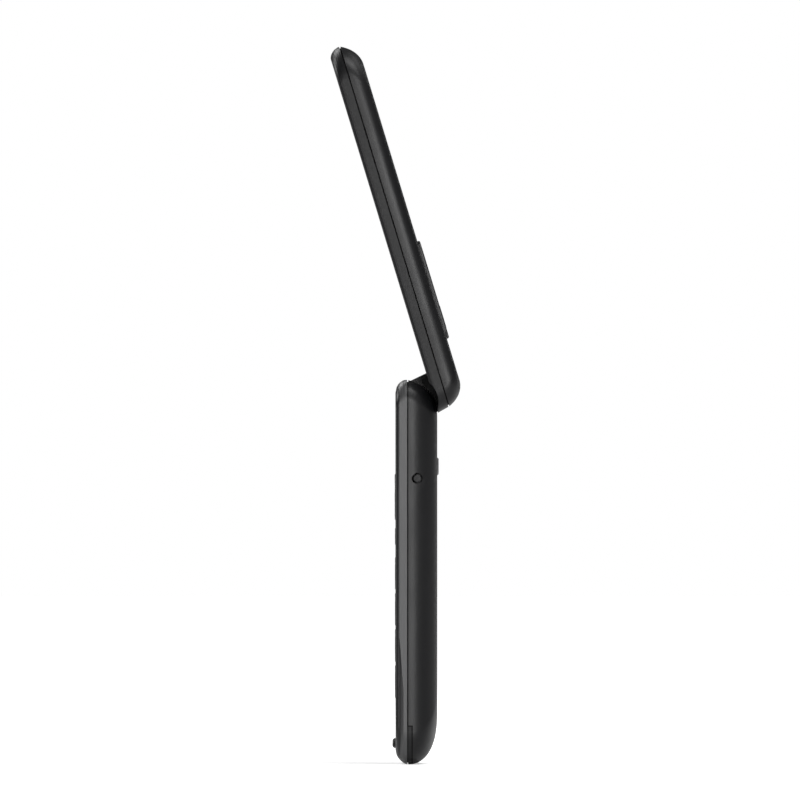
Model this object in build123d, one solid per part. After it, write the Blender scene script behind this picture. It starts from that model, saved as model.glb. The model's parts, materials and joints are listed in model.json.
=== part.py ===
from build123d import *
import os
from math import asin, cos, radians, sin

# A clamshell mobile telephone, standing open as it is held in use.
# The keypad half is upright: +Z runs up along it, -Y is its keypad side and +X its right side.
# The origin is at the centre of the flat back of the battery cover.
# The lid is drawn shut over the keypad and then turned open about the hinge line.

# Keypad half, outer sizes in millimetres
base_height = 102.0
base_width = 52.0
base_depth = 11.1
parting_depth = 3.25
fascia_thickness = 1.05
case_plate_thickness = 0.8
case_wall = 1.1
case_end_wall = 1.9
cover_wall = 1.0
top_corner_radius = 5.5
bottom_corner_radius = 8.5

# How far the edges of the keypad half curve in, measured from its outline
front_side_reach = 0.6
front_side_depth = 0.9
front_bottom_reach = 3.9
front_bottom_depth = 3.0
front_bottom_start = 30.0
front_top_reach = 3.4
front_top_depth = 2.3
front_top_start = 20.0
rear_side_reach = 9.0
rear_bottom_reach = 13.2
rear_bottom_fullness = 2.3
rear_top_reach = 8.8
rear_top_start = 16.0

# Layers that the curved edges are drawn with
front_layers = 6
band_layers = 7
shell_layers = 7

# How far a cut passes the surface it opens
cut_over = 1.0

# Hinge
hinge_depth = 4.7
hinge_drop = 6.0
open_angle = 163.1
knuckle_radius = 4.5
knuckle_width = 30.0
foot_lean = 30.0
foot_corner_depth = 3.9
foot_corner_drop = 5.7
foot_face_drop = 6.45
foot_face_rise = 4.2
side_gap = 0.25
notch_clearance = 0.6
ear_inset = 3.5
pin_radius = 1.25
pin_inner = 9.0
bush_radius = 2.0
bush_bore = 1.3
bush_inner = 8.0
cartridge_radius = 2.8
cartridge_inner = 3.0
running_clearance = 0.05
lug_radius = 2.8
lug_clearance = 0.15
web_drop = 2.5
scallop_radius = 6.75
scallop_overlap = 0.6
sill_start = 1.5
sill_rise = 0.6
sill_gap = 0.35

# Lid, outer sizes
closed_gap = 0.9
lid_depth = 7.9
lid_band = 3.2
lid_wall = 1.0
lid_overhang = 4.5
lid_tip_inner_reach = 3.4
lid_tip_inner_turn = 0.94
lid_tip_outer_reach = 6.3
lid_tip_start = 32.0
lid_end_slope = 0.7
lid_end_reach = 6.0
lid_end_start = 25.0
lid_side_reach = 5.0
lid_side_fullness = 3.0
lid_tip_wall = 2.3

# Grooves at the parting lines
groove_width = 0.35
groove_cut = 0.5

# Stack behind the keypad fascia
mat_thickness = 0.35
switch_thickness = 0.2
board_thickness = 0.8
board_space = 0.85
chassis_thickness = 0.8
chassis_clearance = 0.4
chassis_top_inset = 1.8
stack_gap = 0.05
pocket_clearance = 0.2

# Keys
key_travel = 0.3
key_clearance = 0.15
key_flange_reach = 0.35
key_flange_gap = 0.07
key_proud = 0.12
key_edge = 0.25
keypad_margin = 3.2
number_gap = 1.4
number_pitch_z = 9.6
number_height = 8.4
number_corner = 2.2
number_top_row = 50.6
call_row = 60.4
call_gap = 9.8
call_height = 4.4
call_corner = 1.8
nav_row = 70.9
nav_width = 21.0
nav_height = 12.2
nav_corner = 5.2
nav_proud = 0.2
nav_clearance = 0.2
nav_plate_thickness = 0.25
nav_plate_depth = 1.35
nav_plate_gap = 0.6
ok_width = 9.0
ok_height = 6.0
ok_corner = 2.6
soft_margin = 3.9
soft_gap = 1.4
field_inset = 3.1
field_margin = 0.8
field_corner = 3.0

# Side and rear keys
side_key_height = 75.9
side_key_depth = 5.76
side_key_radius = 1.1
side_key_pocket = 1.45
side_key_flange = 1.7
side_key_sink = 0.15
side_travel = 0.3
volume_height = 65.0
volume_length = 13.6
volume_width = 2.2
volume_corner = 1.0
volume_clearance = 0.25
volume_proud = 0.32
volume_flange = 1.4
volume_flange_reach = 0.5
flange_inset = 2.9
flange_plate = 0.5
pocket_reach = 3.1
rear_key_height = 79.0
rear_key_length = 4.8
rear_key_width = 10.0
rear_key_corner = 2.2
rear_key_proud = 0.4
rear_key_slope = 0.35
rear_key_gap = 0.15
rear_flange_reach = 0.5
post_gap = 0.1
post_thickness = 1.0
post_height = 4.0
post_root = 0.2
rear_post_width = 8.0
rear_post_height = 3.6
rear_post_gap = 0.5

# Battery and what lies round it
battery_margin = 8.0
battery_height = 50.0
battery_thickness = 5.0
battery_corner = 1.3
battery_bottom = 18.2
battery_clearance = 0.2
well_wall = 1.0
well_depth = 3.0
well_corner = 1.5
contact_width = 10.0
contact_height = 2.0
contact_reach = 2.6
contact_pitch = 3.0
contact_pin = 1.0
contact_tip = 0.5
sim_width = 25.0
sim_height = 15.0
sim_thickness = 0.76
sim_corner = 1.5
sim_bottom = 22.0
sim_frame = 1.0
sim_holder_thickness = 0.8

# Sockets on the left side
jack_height = 78.5
jack_depth = 5.0
jack_bore = 1.8
jack_bore_length = 12.0
jack_collar = 2.4
jack_recess = 1.4
jack_shoulder = 3.1
jack_wall = 1.0
socket_clearance = 0.1
usb_height = 26.0
usb_width = 7.6
usb_thickness = 2.7
usb_length = 5.6
usb_recess = 0.4
usb_sheet = 0.3
usb_tongue_start = 1.0
usb_tongue_gap = 1.5

# Main board and what is mounted on it
board_inset = 2.5
board_low = 6.0
board_corner = 4.5
board_top_corner = 1.0
board_top_gap = 2.0
shield_inset = 4.5
shield_gap = 5.0
upper_shield_inset = 5.5
upper_shield_gap = 2.6
upper_shield_low = 1.6
upper_shield_top = 3.7
lower_shield_top = 4.4
mat_margin = 2.1
mat_top_margin = 4.0
mat_corner = 2.5
sheet_inset = 1.0
speaker_inset = 9.5
speaker_gap = 2.5
speaker_low = 2.1
speaker_top = 4.2
speaker_corner = 2.0
grille_rows = 4
grille_pitch = 2.0
grille_slot = 0.8
grille_margin = 1.0
antenna_low = 8.0
antenna_gap = 3.2
antenna_thickness = 3.15
antenna_left = 16.0
antenna_right = 4.0
motor_radius = 1.9
motor_length = 10.0
motor_margin = 3.3
motor_clamp = 5.0
motor_drop = 5.7
microphone_height = 10.0
microphone_radius = 2.0
sound_hole = 0.5

# Bumpers, screws and the shapes at the edges of the case
bumper_radius = 1.1
bumper_proud = 0.8
bumper_round = 0.7
bumper_seat = 0.5
bumper_height = 5.5
bumper_inset = 7.5
boss_radius = 1.9
boss_inset = 4.7
boss_low = 12.0
boss_drop = 18.0
screw_radius = 0.8
screw_tip = 0.4
screw_head_radius = 1.5
screw_head_depth = 0.9
screw_slot_width = 0.4
screw_slot_depth = 0.35
scoop_top = 34.0
scoop_full = 19.7
scoop_depth = 2.15
scoop_cut = 0.55
pry_height = 10.3
pry_depth = 1.2
pry_cut = 0.5
pry_start = 14.0

# Display side of the lid
window_margin = 3.5
window_height = 68.0
window_centre = 50.0
window_thickness = 1.0
window_corner = 1.6
window_edge = 0.15
display_inset = 1.0
display_height = 60.0
display_thickness = 2.2
display_gap = 0.1
display_corner = 0.6
lid_board_gap = 0.2
lid_board_thickness = 0.8
lid_board_inset = 1.0
lid_board_corner = 1.2
earpiece_height = 10.0
earpiece_width = 14.0
earpiece_tall = 5.6
earpiece_depth = 2.0
earpiece_corner = 2.4
slot_width = 10.0
slot_height = 1.4
mesh_sink = 0.3
mesh_hole = 0.3
mesh_pitch = 1.0
mesh_holes = 9
plug_radius = 1.8
plug_thickness = 0.45
plug_inset = 5.8
plug_height = 8.5
plug_seat = 1.5
plug_boss = 2.6
lid_screw_bite = 1.2
lid_post = 1.6

# Raised panel on the outside of the lid
panel_width = 32.0
panel_tip = 55.4
panel_length = 27.0
panel_proud = 0.7
panel_sink = 0.4
panel_seat = 1.1
panel_step = 1.0
panel_corner = 2.4
panel_edge = 0.45
outer_display_inset = 3.0
outer_display_low = 2.0
outer_display_share = 13.0 / 27.0
outer_display_thickness = 1.5
lens_radius = 3.2
lens_from_edge = 5.9
lens_proud = 0.1
lens_edge = 0.3
camera_margin = 0.3
camera_drop = 1.4
barrel_inset = 0.6

# Values that follow from those above
hinge_height = base_height - hinge_drop
plate_rear = fascia_thickness + case_plate_thickness
mat_rear = plate_rear + mat_thickness
board_front = mat_rear + switch_thickness
board_rear = board_front + board_thickness
chassis_front = board_rear + board_space
chassis_rear = chassis_front + chassis_thickness
battery_front = chassis_rear + stack_gap
battery_width = base_width - 2 * battery_margin
contacts_low = battery_bottom + battery_height + battery_clearance
contacts_top = contacts_low + contact_height
board_half_width = base_width / 2 - board_inset
usb_front = board_front + stack_gap
usb_mouth = usb_recess - base_width / 2
jack_mouth = base_width / 2 - jack_recess
jack_inner = jack_bore_length - jack_mouth
lid_length = hinge_height + lid_overhang
notch_half = knuckle_width / 2 + side_gap
notch_floor = hinge_height - foot_corner_drop - notch_clearance
ear_outer = base_width / 2 - ear_inset
flange_seat = base_width / 2 - flange_inset
boss_offset = base_width / 2 - boss_inset
boss_heights = (boss_low, base_height - boss_drop)
motor_start = boss_offset - motor_margin - motor_length
bumper_offset = base_width / 2 - bumper_inset
plug_offset = base_width / 2 - plug_inset
window_width = base_width - 2 * window_margin
display_width = window_width - 2 * display_inset
number_pitch_x = (base_width - 2 * keypad_margin) / 3
number_width = number_pitch_x - number_gap
number_bottom_row = number_top_row - 3 * number_pitch_z
call_width = (3 * number_pitch_x - number_gap - call_gap) / 2
call_offset = (call_gap + call_width) / 2
soft_inner = nav_width / 2 + soft_gap
soft_outer = base_width / 2 - soft_margin
soft_width = soft_outer - soft_inner
soft_offset = (soft_outer + soft_inner) / 2
key_flange_front = fascia_thickness + key_flange_gap
key_flange_rear = plate_rear - key_travel - stack_gap
lens_height = panel_tip + panel_length - lens_from_edge
outer_display_height = panel_length * outer_display_share
speaker_inner = rear_key_width / 2 + speaker_gap
speaker_outer = base_width / 2 - speaker_inset
speaker_middle = (contacts_top + speaker_low + notch_floor - speaker_top) / 2


def at_depth(depth):
    """Y of a point at a depth behind the keypad's front face."""
    return depth - base_depth


def at_height(height):
    """Z of a point at a height above the lower end of the keypad half."""
    return height - base_height / 2


def lid_depth_at(offset):
    """Depth of a point in the shut lid, from its inner face outwards."""
    return -closed_gap - offset


hinge_axis = Axis((0, at_depth(hinge_depth), at_height(hinge_height)), (1, 0, 0))


def curve_in(share, reach, start=0.0):
    """Inset of an elliptical edge at a share of its depth, from 0 at the outline to reach."""
    first = radians(start)
    turn = asin(min(1.0, share * (1 - sin(first)) + sin(first)))
    return reach * (cos(first) - cos(turn)) / cos(first)


def full_curve_in(share, reach, fullness):
    """Inset of an edge that bulges more than an ellipse, from 0 at the outline to reach."""
    return reach * (1 - (1 - share ** fullness) ** (1 / fullness))


side_share = (side_key_depth - parting_depth) / (base_depth - parting_depth)
side_face = base_width / 2 - curve_in(side_share, rear_side_reach)


def outline(depth, half_width, low, high, low_radius, high_radius):
    """Rounded rectangle, parallel to the front face, with two corner radii."""
    corners = [(-half_width, low), (half_width, low), (half_width, high), (-half_width, high)]
    points = [(x, at_height(height)) for x, height in corners]
    radii = [low_radius, low_radius, high_radius, high_radius]
    loop = FilletPolyline(*points, radius=radii, close=True)
    return Plane.XZ.offset(-at_depth(depth)) * make_face(loop)


def slab(depth_a, depth_b, half_width, low, high, low_radius, high_radius=None):
    """Rounded rectangle between two depths."""
    if high_radius is None:
        high_radius = low_radius
    face = outline(depth_a, half_width, low, high, low_radius, high_radius)
    return extrude(face, amount=depth_a - depth_b)


def pad(depth_a, depth_b, x, height, width, tall, radius):
    """Rounded rectangle between two depths, centred on a place."""
    solid = slab(depth_a, depth_b, width / 2, height - tall / 2, height + tall / 2, radius)
    return Pos(x, 0, 0) * solid


def block(x_a, x_b, depth_a, depth_b, low, high):
    """Plain block between two places, depths and heights."""
    size = Box(x_b - x_a, depth_b - depth_a, high - low)
    middle = ((x_a + x_b) / 2, at_depth((depth_a + depth_b) / 2), at_height((low + high) / 2))
    return Pos(*middle) * size


def across(radius, x_a, x_b, depth, height):
    """Cylinder that runs from side to side."""
    rod = Rot(0, 90, 0) * Cylinder(radius, x_b - x_a)
    return Pos((x_a + x_b) / 2, at_depth(depth), at_height(height)) * rod


def through(radius, depth_a, depth_b, x, height):
    """Cylinder that runs from front to back."""
    rod = Rot(90, 0, 0) * Cylinder(radius, depth_b - depth_a)
    return Pos(x, at_depth((depth_a + depth_b) / 2), at_height(height)) * rod


def both_sides(solid):
    """A solid and its mirror image across the middle."""
    return solid + mirror(solid, Plane.YZ)


def mirrored(offset):
    """The two places at a distance from the middle."""
    return (-offset, offset)


def arc_shares(count):
    """Depth shares that crowd together where an elliptical edge turns most."""
    return [sin(radians(90 * step / count)) for step in range(count + 1)]


# Outer forms

def front_face(depth, taken=0.0):
    """Outline of the front part at a depth, with its sides drawn in by an amount."""
    side = curve_in(max(0, 1 - depth / front_side_depth), front_side_reach)
    low = curve_in(max(0, 1 - depth / front_bottom_depth), front_bottom_reach, front_bottom_start)
    drop = curve_in(max(0, 1 - depth / front_top_depth), front_top_reach, front_top_start)
    return outline(
        depth, base_width / 2 - side - taken, low - taken / 2, base_height - drop,
        bottom_corner_radius, top_corner_radius,
    )


def front_form():
    """Front part of the keypad half, from its face to the parting line."""
    depths = [parting_depth * (step / front_layers) ** 1.3 for step in range(front_layers + 1)]
    return loft([front_face(depth) for depth in depths], ruled=True)


def rear_form(inset):
    """Curved rear part of the keypad half, drawn in by a wall's thickness."""
    faces = []
    for share in arc_shares(shell_layers):
        depth = parting_depth + share * (base_depth - parting_depth - inset)
        side = inset + curve_in(share, rear_side_reach - inset)
        low = inset + full_curve_in(share, rear_bottom_reach - inset, rear_bottom_fullness)
        drop = inset + curve_in(share, rear_top_reach - inset, rear_top_start)
        face = outline(
            depth, base_width / 2 - side, low, base_height - drop,
            bottom_corner_radius - inset, top_corner_radius - inset,
        )
        faces.append(face)
    return loft(faces)


def lid_band_form():
    """Inner band of the shut lid, from its inner face to its parting line."""
    faces = []
    for share in reversed(arc_shares(band_layers)):
        offset = lid_band * (1 - share)
        side = curve_in(max(0, 1 - offset / front_side_depth), front_side_reach)
        low = curve_in(share * lid_tip_inner_turn, lid_tip_inner_reach)
        high = lid_length - lid_end_slope * offset / lid_band
        face = outline(
            lid_depth_at(offset), base_width / 2 - side, low, high,
            bottom_corner_radius, top_corner_radius,
        )
        faces.append(face)
    return loft(faces, ruled=True)


def lid_shell_form(inset):
    """Outer shell of the shut lid, drawn in by a wall's thickness."""
    faces = []
    for share in arc_shares(shell_layers):
        offset = lid_band + share * (lid_depth - lid_band - inset)
        side = inset + full_curve_in(share, lid_side_reach - inset, lid_side_fullness)
        low = inset + curve_in(share, lid_tip_outer_reach - inset, lid_tip_start)
        drop = inset + lid_end_slope + curve_in(share, lid_end_reach - inset, lid_end_start)
        face = outline(
            lid_depth_at(offset), base_width / 2 - side, low, lid_length - drop,
            bottom_corner_radius - inset, top_corner_radius - inset,
        )
        faces.append(face)
    return loft(faces)


def edge_groove(depth, high):
    """Thin ring that is cut where two shells meet."""
    ring = slab(
        depth - groove_width / 2, depth + groove_width / 2, base_width / 2 + cut_over, -cut_over,
        high + cut_over, bottom_corner_radius + cut_over, top_corner_radius + cut_over,
    )
    core = slab(
        depth - groove_width, depth + groove_width, base_width / 2 - groove_cut,
        groove_cut, high - groove_cut,
        bottom_corner_radius - groove_cut, top_corner_radius - groove_cut,
    )
    return ring - core


def notch(wall=0.0):
    """Space for the lid's knuckle, between the two ears."""
    return block(
        -notch_half - wall, notch_half + wall, -cut_over, base_depth + cut_over,
        notch_floor - wall, base_height + cut_over,
    )


def hinge_sill():
    """Rear edge of the notch, which curves up behind the barrel and hides the gap below it."""
    sill = block(
        -base_width, base_width, hinge_depth + sill_start, base_depth + 2 * cut_over,
        notch_floor - 2 * cut_over, hinge_height - knuckle_radius + sill_rise,
    )
    return sill - across(
        knuckle_radius + sill_gap, -2 * base_width, 2 * base_width, hinge_depth, hinge_height,
    )


def lug_slots():
    """Openings in the ears that the chassis lugs look through."""
    reach = lug_radius + lug_clearance
    inner = notch_half - cut_over
    outer = notch_half + case_wall + cut_over
    slot = across(reach, inner, outer, hinge_depth, hinge_height)
    way = block(
        inner, outer, hinge_depth - reach, hinge_depth, hinge_height - reach, hinge_height + reach,
    )
    return both_sides(slot + way)


# Keys, as names with their places and sizes

number_names = [
    ["key_1", "key_2", "key_3"],
    ["key_4", "key_5", "key_6"],
    ["key_7", "key_8", "key_9"],
    ["key_star", "key_0", "key_hash"],
]


def key_places():
    """Name, x, height, width, tallness and corner radius of each sliding key."""
    places = []
    for row, names in enumerate(number_names):
        for column, name in enumerate(names):
            x = (column - 1) * number_pitch_x
            height = number_top_row - row * number_pitch_z
            places.append((name, x, height, number_width, number_height, number_corner))
    places.append(("call_key", -call_offset, call_row, call_width, call_height, call_corner))
    places.append(("end_key", call_offset, call_row, call_width, call_height, call_corner))
    places.append(("soft_key_left", -soft_offset, nav_row, soft_width, nav_height, number_corner))
    places.append(("soft_key_right", soft_offset, nav_row, soft_width, nav_height, number_corner))
    return places


def make_key(x, height, width, tall, radius):
    """Key cap with the flange that keeps it behind the fascia."""
    cap = pad(-key_proud, key_flange_front, x, height, width, tall, radius)
    front_edges = cap.faces().sort_by(Axis.Y)[0].edges()
    cap = fillet(front_edges, key_edge)
    grown = 2 * key_flange_reach
    flange = pad(
        key_flange_front, key_flange_rear, x, height, width + grown, tall + grown,
        radius + key_flange_reach,
    )
    return cap + flange


def key_hole(x, height, width, tall, radius, clearance):
    """Aperture in the fascia for a key."""
    grown = 2 * clearance
    return pad(
        -cut_over, fascia_thickness + cut_over, x, height, width + grown, tall + grown,
        radius + clearance,
    )


# Keypad half

def make_fascia():
    """Front skin with the apertures of the keys and the seats of the bumpers."""
    skin = front_form() & block(
        -base_width, base_width, -cut_over, fascia_thickness, -cut_over, base_height + cut_over,
    )
    skin -= notch()
    for name, x, height, width, tall, radius in key_places():
        skin -= key_hole(x, height, width, tall, radius, key_clearance)
    skin -= key_hole(0, nav_row, nav_width, nav_height, nav_corner, nav_clearance)
    for x in mirrored(bumper_offset):
        skin -= through(bumper_radius, -cut_over, bumper_seat, x, bumper_height)
    skin -= through(sound_hole, -cut_over, fascia_thickness + cut_over, 0, microphone_height)
    return skin


def make_scoops():
    """Bevels along the lower part of the band, deepest beside the fascia."""
    reach = Plane.YZ * make_face(Polyline(
        (at_depth(fascia_thickness), at_height(-cut_over)),
        (at_depth(scoop_depth), at_height(-cut_over)),
        (at_depth(scoop_depth), at_height(scoop_full)),
        (at_depth(fascia_thickness), at_height(scoop_top)),
        close=True,
    ))
    both = Pos(-base_width, 0, 0) * extrude(reach, amount=2 * base_width, dir=(1, 0, 0))
    kept = loft([front_face(fascia_thickness, scoop_cut), front_face(scoop_depth)], ruled=True)
    return both - kept


def make_front_case():
    """Side band with a plate behind the fascia and screw bosses."""
    case = front_form() & block(
        -base_width, base_width, fascia_thickness, parting_depth, -cut_over, base_height + cut_over,
    )
    hollow = slab(
        plate_rear, parting_depth + cut_over, base_width / 2 - case_wall, case_end_wall,
        base_height - case_end_wall,
        bottom_corner_radius - case_wall, top_corner_radius - case_wall,
    )
    case -= hollow - notch(case_wall)
    case -= notch()
    half = base_width / 2 - field_inset
    case -= slab(
        0, plate_rear + cut_over, half, number_bottom_row - number_height / 2 - field_margin,
        number_top_row + number_height / 2 + field_margin, field_corner,
    )
    case -= slab(
        0, plate_rear + cut_over, half, call_row - call_height / 2 - field_margin,
        nav_row + nav_height / 2 + 2 * field_margin, field_corner,
    )
    case -= lug_slots()
    case -= edge_groove(parting_depth, base_height)
    case -= through(sound_hole, 0, plate_rear + cut_over, 0, microphone_height)
    for height in boss_heights:
        for x in mirrored(boss_offset):
            boss = through(boss_radius, plate_rear - stack_gap, chassis_front, x, height)
            boss -= through(screw_radius, plate_rear, chassis_front + cut_over, x, height)
            case += boss
    case -= make_scoops()
    case -= usb_way()
    case -= across(
        jack_collar + socket_clearance, -base_width, case_wall + cut_over - base_width / 2,
        jack_depth, jack_height,
    )
    return case


def usb_way():
    """Opening for the charging plug, a little larger than the socket."""
    grown = socket_clearance
    return block(
        -base_width, usb_mouth + usb_length + grown,
        usb_front - grown, usb_front + usb_thickness + grown,
        usb_height - usb_width / 2 - grown, usb_height + usb_width / 2 + grown,
    )


def make_cover():
    """Battery cover, which wraps the whole back of the keypad half."""
    cover = rear_form(0) - (rear_form(cover_wall) - notch(cover_wall))
    cover -= notch() - hinge_sill()
    cover -= lug_slots()
    cover -= edge_groove(parting_depth, base_height)
    pocket = flange_seat - pocket_reach
    cover -= across(side_key_pocket, pocket, base_width, side_key_depth, side_key_height)
    grown = volume_clearance
    cover -= block(
        -base_width, -pocket, side_key_depth - volume_width / 2 - grown,
        side_key_depth + volume_width / 2 + grown,
        volume_height - volume_length / 2 - grown, volume_height + volume_length / 2 + grown,
    )
    cover -= usb_way()
    cover -= across(
        jack_collar + socket_clearance, -base_width, -pocket, jack_depth, jack_height,
    )
    inside = base_depth - cover_wall - cut_over
    cover -= pad(
        inside, base_depth + cut_over, 0, rear_key_height, rear_key_width + 2 * key_clearance,
        rear_key_length + 2 * key_clearance, rear_key_corner + key_clearance,
    )
    slot_length = speaker_outer - speaker_inner - 2 * grille_margin
    for row in range(grille_rows):
        height = speaker_middle + (row - (grille_rows - 1) / 2) * grille_pitch
        cover -= pad(
            inside, base_depth + cut_over, (speaker_inner + speaker_outer) / 2, height,
            slot_length, grille_slot, grille_slot * 0.49,
        )
    pry = slab(
        parting_depth, parting_depth + pry_depth, base_width / 2 + cut_over, -cut_over, base_height,
        bottom_corner_radius + cut_over, top_corner_radius,
    )
    pry -= slab(
        parting_depth - cut_over, parting_depth + pry_depth + cut_over, base_width / 2 - pry_cut,
        pry_cut, base_height - pry_cut,
        bottom_corner_radius - pry_cut, top_corner_radius - pry_cut,
    )
    cover -= pry & block(pry_start, base_width, 0, base_depth, -cut_over, pry_height)
    return cover


def make_well():
    """Walls round the battery."""
    low = battery_bottom - battery_clearance
    high = battery_bottom + battery_height + battery_clearance
    half = battery_width / 2 + battery_clearance
    well = slab(
        chassis_rear, chassis_rear + well_depth, half + well_wall, low - well_wall,
        high + well_wall, well_corner + well_wall,
    )
    return well - slab(
        chassis_rear - cut_over, chassis_rear + well_depth + cut_over, half, low, high, well_corner,
    )


def make_posts():
    """Posts that stand behind the side keys and the rear key."""
    root = chassis_rear - post_root
    outer = flange_seat - flange_plate - side_travel - post_gap
    side_post = block(
        outer - post_thickness, outer, root, side_key_depth + side_key_flange,
        side_key_height - post_height / 2, side_key_height + post_height / 2,
    )
    volume_post = block(
        -outer, post_thickness - outer, root, side_key_depth + volume_flange,
        volume_height - post_height / 2, volume_height + post_height / 2,
    )
    rear_flange = base_depth - cover_wall - rear_key_gap - flange_plate
    rear_post = block(
        -rear_post_width / 2, rear_post_width / 2, root, rear_flange - rear_post_gap,
        rear_key_height - rear_post_height / 2, rear_key_height + rear_post_height / 2,
    )
    return side_post + volume_post + rear_post


def make_chassis():
    """Inner frame with the battery well, the hinge lugs and the key rests."""
    inset = cover_wall + chassis_clearance
    frame = slab(
        parting_depth, chassis_rear, base_width / 2 - inset, inset, base_height - chassis_top_inset,
        bottom_corner_radius - inset, top_corner_radius - inset,
    )
    frame -= slab(
        parting_depth - cut_over, chassis_front, base_width / 2 - inset - well_wall,
        inset + well_wall, base_height - inset - well_wall,
        bottom_corner_radius - inset, top_corner_radius - inset,
    )
    frame -= notch(inset)
    frame += make_well()
    lug = across(lug_radius, notch_half + post_gap, ear_outer, hinge_depth, hinge_height)
    web = block(
        notch_half + inset, ear_outer, chassis_front, hinge_depth + lug_radius,
        notch_floor - web_drop, hinge_height,
    )
    frame += both_sides(lug + web)
    frame -= across(pin_radius, 0, ear_outer + cut_over, hinge_depth, hinge_height)
    frame -= across(bush_radius, -ear_outer - cut_over, 0, hinge_depth, hinge_height)
    frame += make_posts()
    for height in boss_heights:
        for x in mirrored(boss_offset):
            frame -= through(
                screw_radius, chassis_front - cut_over, chassis_rear + cut_over, x, height,
            )
    return frame - make_chassis_pockets()


def make_chassis_pockets():
    """Openings in the chassis plate for the parts that stand through it."""
    gap = pocket_clearance
    front = chassis_front - cut_over
    rear = chassis_rear + post_gap
    key_side = flange_seat - flange_plate - side_travel - post_gap
    pockets = block(
        key_side, base_width, front, rear,
        side_key_height - side_key_flange - gap, side_key_height + side_key_flange + gap,
    )
    volume_half = volume_length / 2 + volume_flange_reach + side_travel
    pockets += block(
        -base_width, -key_side, front, rear, volume_height - volume_half, volume_height + volume_half,
    )
    pockets += block(
        -sim_width / 2 - gap, sim_width / 2 + gap, front, rear,
        sim_bottom - gap, sim_bottom + sim_height + gap,
    )
    pockets += block(
        -contact_width / 2 - gap, contact_width / 2 + gap, front, base_depth,
        contacts_low, contacts_top + gap,
    )
    pockets += usb_way()
    pockets += jack_way(parting_depth - cut_over, jack_depth + jack_collar)
    return pockets


def jack_way(depth_a, depth_b):
    """Opening for the body of the headset socket."""
    reach = jack_collar + pocket_clearance
    return block(
        -base_width, jack_inner + jack_wall + pocket_clearance, depth_a, depth_b,
        jack_height - reach, jack_height + reach,
    )


def make_main_board():
    """Circuit board behind the keypad, cut back for the bosses and sockets."""
    board = slab(
        board_front, board_rear, board_half_width, board_low, notch_floor - board_top_gap,
        board_corner, board_top_corner,
    )
    for height in boss_heights:
        for x in mirrored(boss_offset):
            board -= through(
                boss_radius + pocket_clearance, board_front - cut_over, board_rear + cut_over, x,
                height,
            )
    board -= usb_way()
    return board - jack_way(board_front - cut_over, board_rear + cut_over)


def make_jack():
    """Round 3.5 mm headset socket with a square body and a collar."""
    shoulder = jack_shoulder - jack_mouth
    body = block(
        shoulder, jack_inner + jack_wall, jack_depth - jack_collar, jack_depth + jack_collar,
        jack_height - jack_collar, jack_height + jack_collar,
    )
    collar = across(jack_collar, -jack_mouth, shoulder + jack_wall, jack_depth, jack_height)
    bore = across(jack_bore, -jack_mouth - cut_over, jack_inner, jack_depth, jack_height)
    return body + collar - bore


def make_usb():
    """Charging and data socket with its plug opening and tongue."""
    low = usb_height - usb_width / 2
    high = usb_height + usb_width / 2
    rear = usb_front + usb_thickness
    middle = usb_front + usb_thickness / 2
    inner = usb_mouth + usb_length
    shell = block(usb_mouth, inner, usb_front, rear, low, high)
    shell -= block(
        usb_mouth - cut_over, inner - usb_sheet, usb_front + usb_sheet, rear - usb_sheet,
        low + usb_sheet, high - usb_sheet,
    )
    tongue = block(
        usb_mouth + usb_tongue_start, inner - usb_sheet / 2, middle - usb_sheet, middle + usb_sheet,
        low + usb_tongue_gap, high - usb_tongue_gap,
    )
    return shell + tongue


def make_shields():
    """Pressed metal cans over the radio parts at the top and bottom of the board."""
    rear = chassis_front - stack_gap
    upper = block(
        jack_inner + upper_shield_gap, board_half_width - upper_shield_inset, board_rear, rear,
        contacts_top + upper_shield_low, notch_floor - upper_shield_top,
    )
    half = board_half_width - shield_inset
    lower = block(
        -half, half, board_rear, rear,
        sim_bottom + sim_height + shield_gap, contacts_low - lower_shield_top,
    )
    return upper + lower


def make_battery():
    """Flat battery pack with rounded corners."""
    return pad(
        battery_front, battery_front + battery_thickness, 0,
        battery_bottom + battery_height / 2, battery_width, battery_height, battery_corner,
    )


def make_contacts():
    """Spring contact block that meets the top end of the battery."""
    base = block(
        -contact_width / 2, contact_width / 2, board_rear, chassis_rear + contact_reach,
        contacts_low, contacts_top,
    )
    for x in (-contact_pitch, 0, contact_pitch):
        base += block(
            x - contact_pin / 2, x + contact_pin / 2, chassis_rear + contact_pin,
            chassis_rear + 2 * contact_pin, contacts_low - battery_clearance,
            contacts_low + contact_tip,
        )
    return base


def make_screws():
    """Four screws that hold the chassis to the front case."""
    screws = []
    top = chassis_rear + screw_head_depth
    for height in boss_heights:
        for x in mirrored(boss_offset):
            shank = through(screw_radius, plate_rear + screw_tip, chassis_rear, x, height)
            head = through(screw_head_radius, chassis_rear, top, x, height)
            slot = block(
                x - screw_head_radius, x + screw_head_radius, top - screw_slot_depth, base_depth,
                height - screw_slot_width / 2, height + screw_slot_width / 2,
            )
            screws.append(shank + head - slot)
    return Compound(children=screws)


def make_side_key():
    """Round key on the right side, like a small disc in a dish."""
    cap = across(
        side_key_radius, flange_seat, side_face - side_key_sink, side_key_depth, side_key_height,
    )
    rim = cap.faces().sort_by(Axis.X)[-1].edges()
    cap = fillet(rim, key_edge)
    flange = across(
        side_key_flange, flange_seat - flange_plate, flange_seat, side_key_depth, side_key_height,
    )
    return cap + flange


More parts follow.
